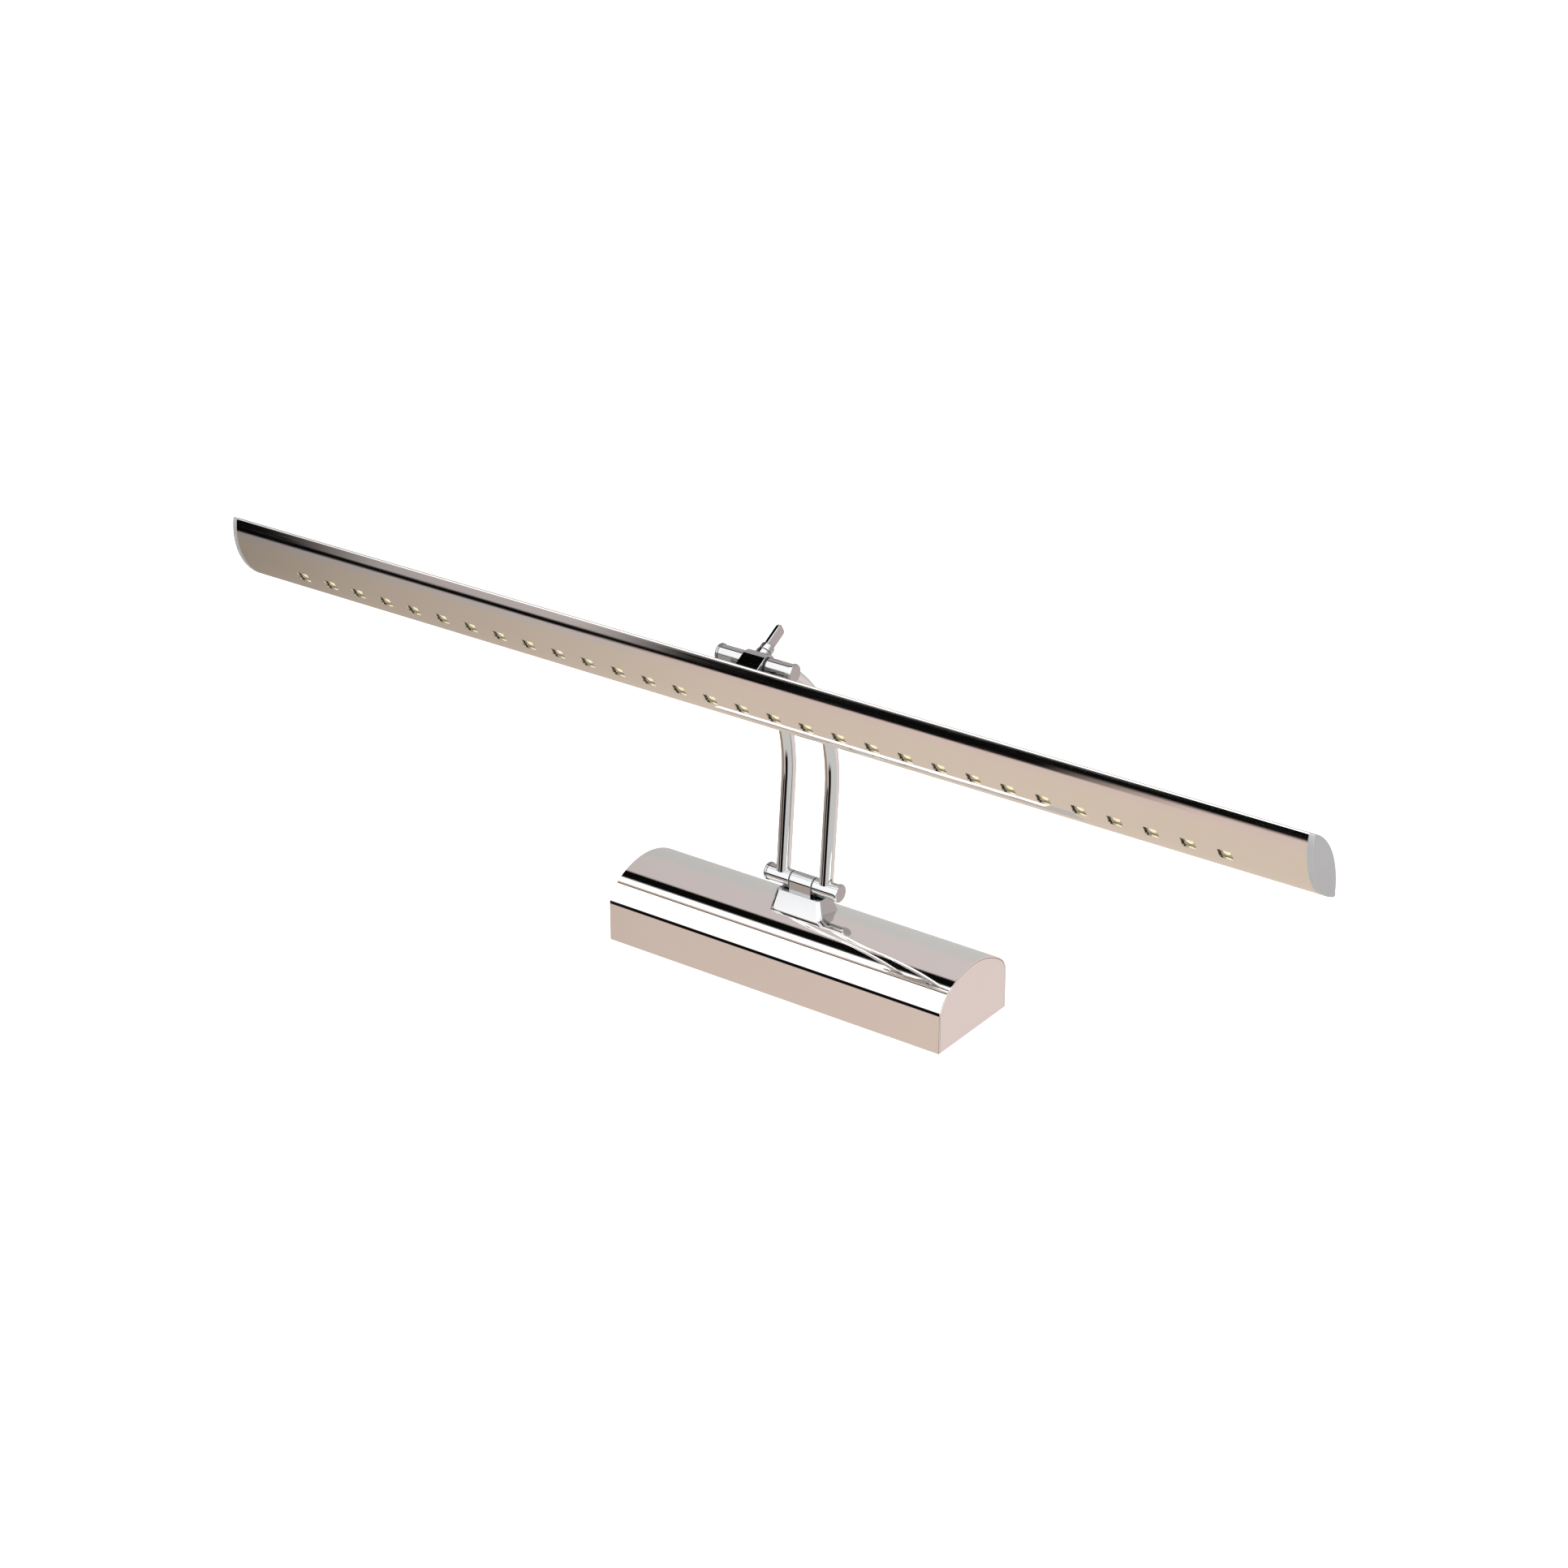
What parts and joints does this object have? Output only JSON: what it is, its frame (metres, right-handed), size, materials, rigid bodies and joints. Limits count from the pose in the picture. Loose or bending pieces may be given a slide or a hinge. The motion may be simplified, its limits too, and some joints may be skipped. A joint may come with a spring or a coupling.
{
  "type": "picture light",
  "caption": "Wall picture light with a long oval LED head on a curved two-tube arm, hinged on an arched polished-steel base.",
  "frame": {"origin": "middle of the base's flat back, in the plane of the wall", "axes": "+Z out of the wall, +X along the head, -Y the side that the head reaches towards and lights, which is down on a wall"},
  "size_m": [0.55, 0.0881, 0.174],
  "materials": {
    "polished_steel": "mirror-polished stainless steel",
    "plated_steel": "zinc plated",
    "washer_plastic": "smooth nylon",
    "grommet_rubber": "matt",
    "driver_plastic": "moulded",
    "circuit_board": "solder mask",
    "component_case": "smooth",
    "terminal_plastic": "moulded",
    "terminal_brass": "turned",
    "mains_insulation": "smooth",
    "earth_insulation": "smooth",
    "lead_insulation": "smooth",
    "rail_aluminium": "mill finish",
    "board_white": "white solder mask",
    "led_phosphor": "silicone over a white frame",
    "end_cap_satin": "satin grey"
  },
  "bodies": {
    "base": {"base_cover": "polished_steel", "base_end_cap_left": "polished_steel", "base_end_cap_right": "polished_steel", "cable_grommet": "grommet_rubber", "cover_screws": "plated_steel", "driver_board": "circuit_board", "driver_capacitors": "component_case", "driver_lid": "driver_plastic", "driver_screws": "plated_steel", "driver_transformer": "component_case", "driver_tray": "driver_plastic", "earth_lead": "earth_insulation", "earth_nut": "plated_steel", "earth_stud": "plated_steel", "foot_plate": "plated_steel", "foot_screws": "plated_steel", "hinge_foot": "polished_steel", "output_leads": "lead_insulation", "supply_leads": "mains_insulation", "terminal_block": "terminal_plastic", "terminal_mounting_screw": "plated_steel", "terminal_screws": "terminal_brass", "wall_plate": "plated_steel"},
    "arm": {"arm_leads": "lead_insulation", "arm_tube_left": "polished_steel", "arm_tube_right": "polished_steel", "lower_barrel_left": "polished_steel", "lower_barrel_right": "polished_steel", "lower_end_caps": "polished_steel", "lower_hinge_pin": "plated_steel", "lower_washers": "washer_plastic", "upper_barrel_left": "polished_steel", "upper_barrel_right": "polished_steel", "upper_end_caps": "polished_steel", "upper_hinge_pin": "plated_steel", "upper_washers": "washer_plastic"},
    "head": {"board_rail": "rail_aluminium", "board_screws": "plated_steel", "head_back_shell": "polished_steel", "head_end_cap_left": "end_cap_satin", "head_end_cap_right": "end_cap_satin", "head_face_plate": "polished_steel", "head_knuckle": "polished_steel", "head_leads": "lead_insulation", "knuckle_screws": "plated_steel", "led_board": "board_white", "led_chips": "led_phosphor"},
    "thumb": {"thumb_screw": "polished_steel"}
  },
  "joints": [
    {"name": "arm_tilt", "type": "hinge", "parent": "base", "child": "arm", "pos_m": [0, 0, 0.045], "axis": [1, 0, 0], "range_deg": [-60, 70]},
    {"name": "head_tilt", "type": "hinge", "parent": "arm", "child": "head", "pos_m": [0, -0.03431, 0.16195], "axis": [1, 0, 0], "range_deg": [-120, 45]},
    {"name": "thumb_screw_turn", "type": "hinge", "parent": "head", "child": "thumb", "pos_m": [0, -0.03431, 0.16195], "axis": [0, 0.8625, 0.506], "continuous": true}
  ]
}
